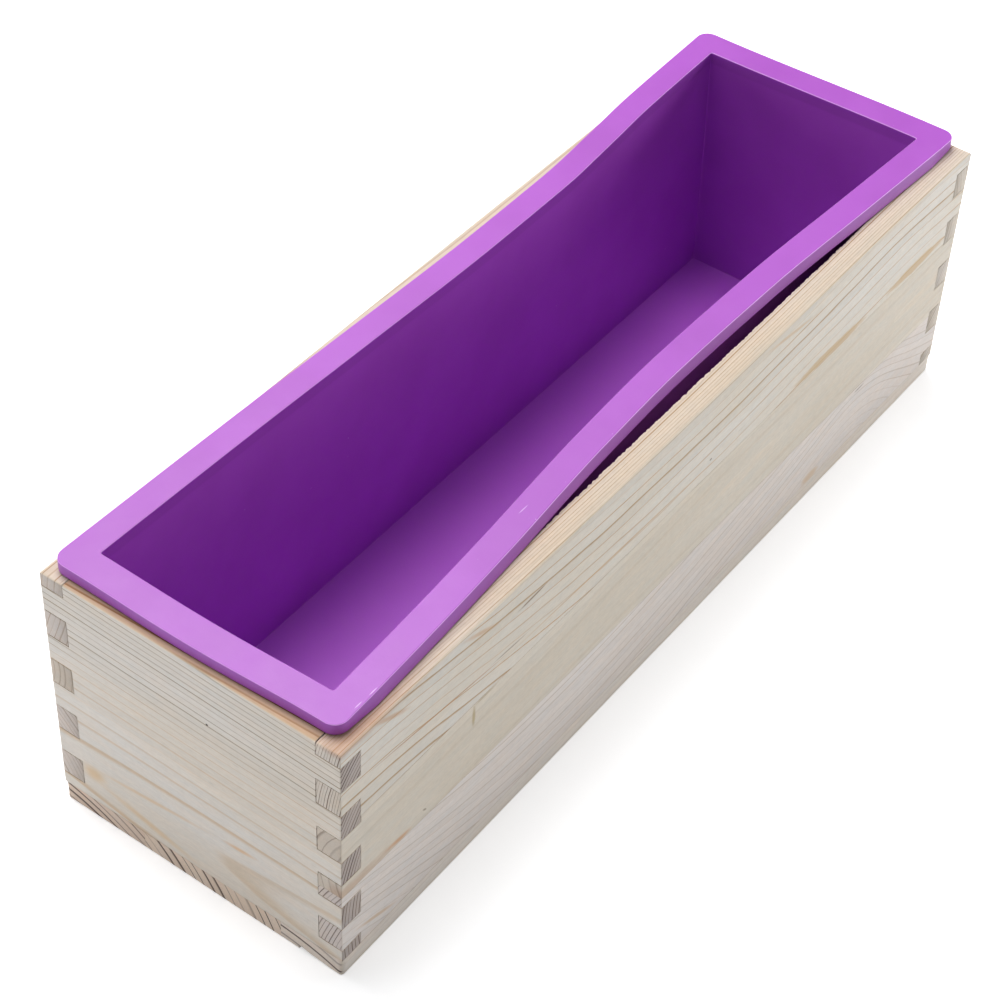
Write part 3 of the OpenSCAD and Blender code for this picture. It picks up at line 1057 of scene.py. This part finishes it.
silicone = {
    "body": "ae51c6",
    "deep": "a84bbf",
    "speck": "e0c8ea",
    # painted highlight: the flange's upward-facing rounded edges are coloured lighter
    "edge": "dba6ea",
    "edgeWearAndHighlightStrength": 0.85,
    "paintedHighlightHeights": (79, 81),  # this and the next two in millimetres above the table
    # painted light: the cavity's floor, which faces the light above, is coloured lighter
    "paintedFloorLight": "be5bd8",
    "paintedFloorLightHeights": (12, 20),
    # painted shade: the flange's sides are coloured darker, as they are shaded from the light above
    "sideShadeColour": "8d3aa6",
    "sideShadeStrength": 0.4,
    "sideShadeHeights": (80.5, 81.5),
    "cloudScale": 0.03,
    "dustScale": 1.1,
    "patchScale": 0.06,
    "speckStrength": 0.5,
    "roughness": 0.47,
    "smearRoughness": 0.16,
    "smearScale": 0.09,
    "specular": 1.15,
    "ior": 1.41,
    "softLight": 0.35,  # light that goes in and comes out again
    "softLightColours": (1.0, 0.45, 1.2),
    "softLightDepth": 2.0 * mm,
    # nicks and scuffs where the flange was trimmed by hand: place, size, lean and colour
    "scuffs": [
        {"at": (-126.8, -41.0, 84.6), "size": (2.4, 0.45, 6), "lean": 0.05, "colour": "9c4ab8"},
        {"at": (-130.6, -40.9, 84.6), "size": (1.7, 0.55, 6), "lean": -0.15, "colour": "a04fbc"},
        {"at": (-123.4, -40.2, 84.6), "size": (1.8, 0.25, 6), "lean": 0.2, "colour": "e6c0f2"},
        {"at": (-128.4, -40.1, 84.6), "size": (1.6, 0.2, 6), "lean": 0.1, "colour": "e6c0f2"},
        {"at": (-57.0, -32.4, 84.6), "size": (2.4, 0.2, 6), "lean": 0.25, "colour": "dcb0ea"},
    ],
    "scuffStrength": 0.6,
    "scuffSoftness": 0.6,
    "scuffRagged": 0.35,
    "bumpStrength": 0.25,
    "bumpDepth": 0.25 * mm,
    "bumpFine": 0.3,
    "bumpFineScale": 1.4,
    "bumpBroad": 1.2,
    "bumpBroadScale": 0.12,
}


def makeSilicone():
    look = silicone
    material, tree = newMaterial("violet_silicone")
    coords = addNode(tree, "TexCoord").outputs
    vector = vectorMaths(tree, "MULTIPLY", coords["Object"], (1 / mm, 1 / mm, 1 / mm))
    height = splitVector(tree, vector)[2]
    facing = splitVector(tree, coords["Normal"])[2]
    edge = placeGroup(tree, edgeGroup, {"Normal": coords["Normal"]})["Edge"]

    cloud = noiseAt(tree, vector, detail=3.0, scale=look["cloudScale"])
    paint = mixColour(tree, ramp(tree, cloud, 0.35, 0.65), colour(look["body"]), colour(look["deep"]))
    dust = noiseAt(tree, vector, detail=1.0, scale=look["dustScale"])
    patch = noiseAt(tree, vector, detail=1.0, scale=look["patchScale"])
    specks = maths(tree, "MULTIPLY", ramp(tree, dust, 0.79, 0.83), ramp(tree, patch, 0.5, 0.6))
    paint = mixColour(tree, maths(tree, "MULTIPLY", specks, look["speckStrength"]), paint,
                      colour(look["speck"]))

    # painted light and shade: the cavity's floor is painted lighter where it faces up to the light, and
    # the flange's sides are painted darker as shade
    floorLightMask = maths(tree, "MULTIPLY", ramp(tree, height, *look["paintedFloorLightHeights"], 1.0, 0.0),
                 ramp(tree, facing, 0.6, 0.95))
    paint = mixColour(tree, floorLightMask, paint, colour(look["paintedFloorLight"]))
    # painted shade on the flange's upright sides
    sideShade = maths(tree, "MULTIPLY", ramp(tree, facing, 0.4, 0.65, look["sideShadeStrength"], 0.0),
                ramp(tree, height, *look["sideShadeHeights"]))
    paint = mixColour(tree, sideShade, paint, colour(look["sideShadeColour"]))
    for scuff in look["scuffs"]:
        mask = placeGroup(tree, markGroup, {
            "Vector": vector, "Place": scuff["at"], "Size": scuff["size"], "Lean": scuff["lean"],
            "Softness": look["scuffSoftness"], "Ragged": look["scuffRagged"], "Seed": 4.0})["Mask"]
        paint = mixColour(tree, maths(tree, "MULTIPLY", mask, look["scuffStrength"]), paint,
                          colour(scuff["colour"]))
    # painted highlight along the flange's upper rounded edges
    paintedHighlight = maths(tree, "MULTIPLY", ramp(tree, edge, 0.35, 0.9, 0.0, look["edgeWearAndHighlightStrength"]),
                 ramp(tree, height, *look["paintedHighlightHeights"]))
    paintedHighlight = maths(tree, "MULTIPLY", paintedHighlight, ramp(tree, facing, 0.15, 0.4))
    paint = mixColour(tree, paintedHighlight, paint, colour(look["edge"]))

    smear = noiseAt(tree, vector, detail=4.0, scale=look["smearScale"])
    gloss = maths(tree, "MULTIPLY_ADD", smear, look["smearRoughness"],
                  look["roughness"] - look["smearRoughness"] / 2)
    fine = noiseAt(tree, vector, detail=3.0, scale=look["bumpFineScale"])
    broad = noiseAt(tree, vector, detail=2.0, scale=look["bumpBroadScale"])
    relief = maths(tree, "MULTIPLY_ADD", broad, look["bumpBroad"],
                   maths(tree, "MULTIPLY", fine, look["bumpFine"]))
    bump = addNode(tree, "Bump", {"Strength": look["bumpStrength"], "Distance": look["bumpDepth"],
                                  "Height": relief})
    surface = addNode(tree, "BsdfPrincipled", {
        "Base Color": paint, "Roughness": gloss, "Specular IOR Level": look["specular"],
        "IOR": look["ior"], "Subsurface Weight": look["softLight"],
        "Subsurface Radius": look["softLightColours"], "Subsurface Scale": look["softLightDepth"],
        "Normal": bump.outputs["Normal"]})
    addNode(tree, "OutputMaterial", {"Surface": surface.outputs[0]})
    return material


makeLiner()
print("liner made")


# lights, table and camera
studio = {
    "worldStrength": 0.235,
    "panels": {
        "overhead": {"at": (0.16, 0.42, 1.25), "aim": (0.0, 0.0, 0.0), "size": 0.9, "power": 18.5},
        "leftBack": {"at": (-0.70, 0.55, 0.10), "aim": (-0.1, 0.0, 0.04), "size": 0.5, "power": 2.3},
        "front": {"at": (0.85, -1.10, 0.10), "aim": (0.15, 0.0, 0.0), "size": 0.4, "power": 1.5},
        "rightFront": {"at": (0.72, -0.50, 0.10), "aim": (0.1, 0.0, 0.04), "size": 0.5, "power": 3.8},
    },
    "floorSize": 8.0,
    "floorColour": (0.91, 0.92, 0.94, 1.0),
    "floorLift": 0.48,
}


def makePanel(name, panel):
    lamp = bpy.data.lights.new(name, "AREA")
    lamp.energy = panel["power"]
    lamp.size = panel["size"]
    piece = linkToScene(name, lamp)
    piece.location = panel["at"]
    away = Vector(panel["at"]) - Vector(panel["aim"])
    piece.rotation_euler = away.to_track_quat("Z", "Y").to_euler()


def makePaper():
    # white table paper, lifted a little where it is seen so that it stays white
    material, tree = newMaterial("whitePaper")
    grain = noiseAt(tree, addNode(tree, "TexCoord").outputs["Object"], detail=3.0, scale=900.0)
    bump = addNode(tree, "Bump", {"Strength": 0.05, "Distance": 0.05 * mm, "Height": grain})
    surface = addNode(tree, "BsdfPrincipled", {
        "Base Color": studio["floorColour"], "Roughness": 0.9, "Specular IOR Level": 0.1,
        "Normal": bump.outputs["Normal"]})
    glow = addNode(tree, "Emission", {"Strength": studio["floorLift"]})
    both = addNode(tree, "AddShader", {0: surface.outputs[0], 1: glow.outputs[0]})
    seen = addNode(tree, "LightPath").outputs["Is Camera Ray"]
    choice = addNode(tree, "MixShader", {0: seen, 1: surface.outputs[0], 2: both.outputs[0]})
    addNode(tree, "OutputMaterial", {"Surface": choice.outputs[0]})
    return material


def makeStudio():
    scene = bpy.context.scene
    scene.view_settings.view_transform = "Standard"
    world = bpy.data.worlds.new("studioWorld")
    world.use_nodes = True
    backdrop = world.node_tree.nodes["Background"].inputs
    backdrop["Color"].default_value = (1.0, 1.0, 1.0, 1.0)
    backdrop["Strength"].default_value = studio["worldStrength"]
    scene.world = world
    for name, panel in studio["panels"].items():
        makePanel(name, panel)
    half = studio["floorSize"] / 2
    mesh = bpy.data.meshes.new("studioFloor")
    mesh.from_pydata([(-half, -half, 0), (half, -half, 0), (half, half, 0), (-half, half, 0)], [],
                     [(0, 1, 2, 3)])
    floor = linkToScene("studioFloor", mesh)
    mesh.materials.append(makePaper())


camera = {
    "at": (-412.4 * mm, -269.0 * mm, 504.6 * mm),
    "azimuth": -55.60,
    "elevation": 44.35,
    "roll": 3.04,
    "lens": 91.66,
    "sensor": 36.0,
    "nearest": 0.01,
}


def makeCamera():
    turn = math.radians(camera["azimuth"])
    tip = math.radians(camera["elevation"])
    roll = math.radians(camera["roll"])
    look = Vector((-math.sin(turn) * math.cos(tip), math.cos(turn) * math.cos(tip), -math.sin(tip)))
    right = look.cross(Vector((0, 0, 1))).normalized()
    up = right.cross(look)
    rolledRight = math.cos(roll) * right + math.sin(roll) * up
    rolledUp = -math.sin(roll) * right + math.cos(roll) * up
    data = bpy.data.cameras.new("studioCamera")
    data.lens = camera["lens"]
    data.sensor_width = camera["sensor"]
    data.clip_start = camera["nearest"]
    piece = linkToScene("studioCamera", data)
    axes = Matrix((rolledRight, rolledUp, -look)).transposed().to_4x4()
    piece.matrix_world = Matrix.Translation(camera["at"]) @ axes
    bpy.context.scene.camera = piece


makeStudio()
makeCamera()
print("studio and camera set")
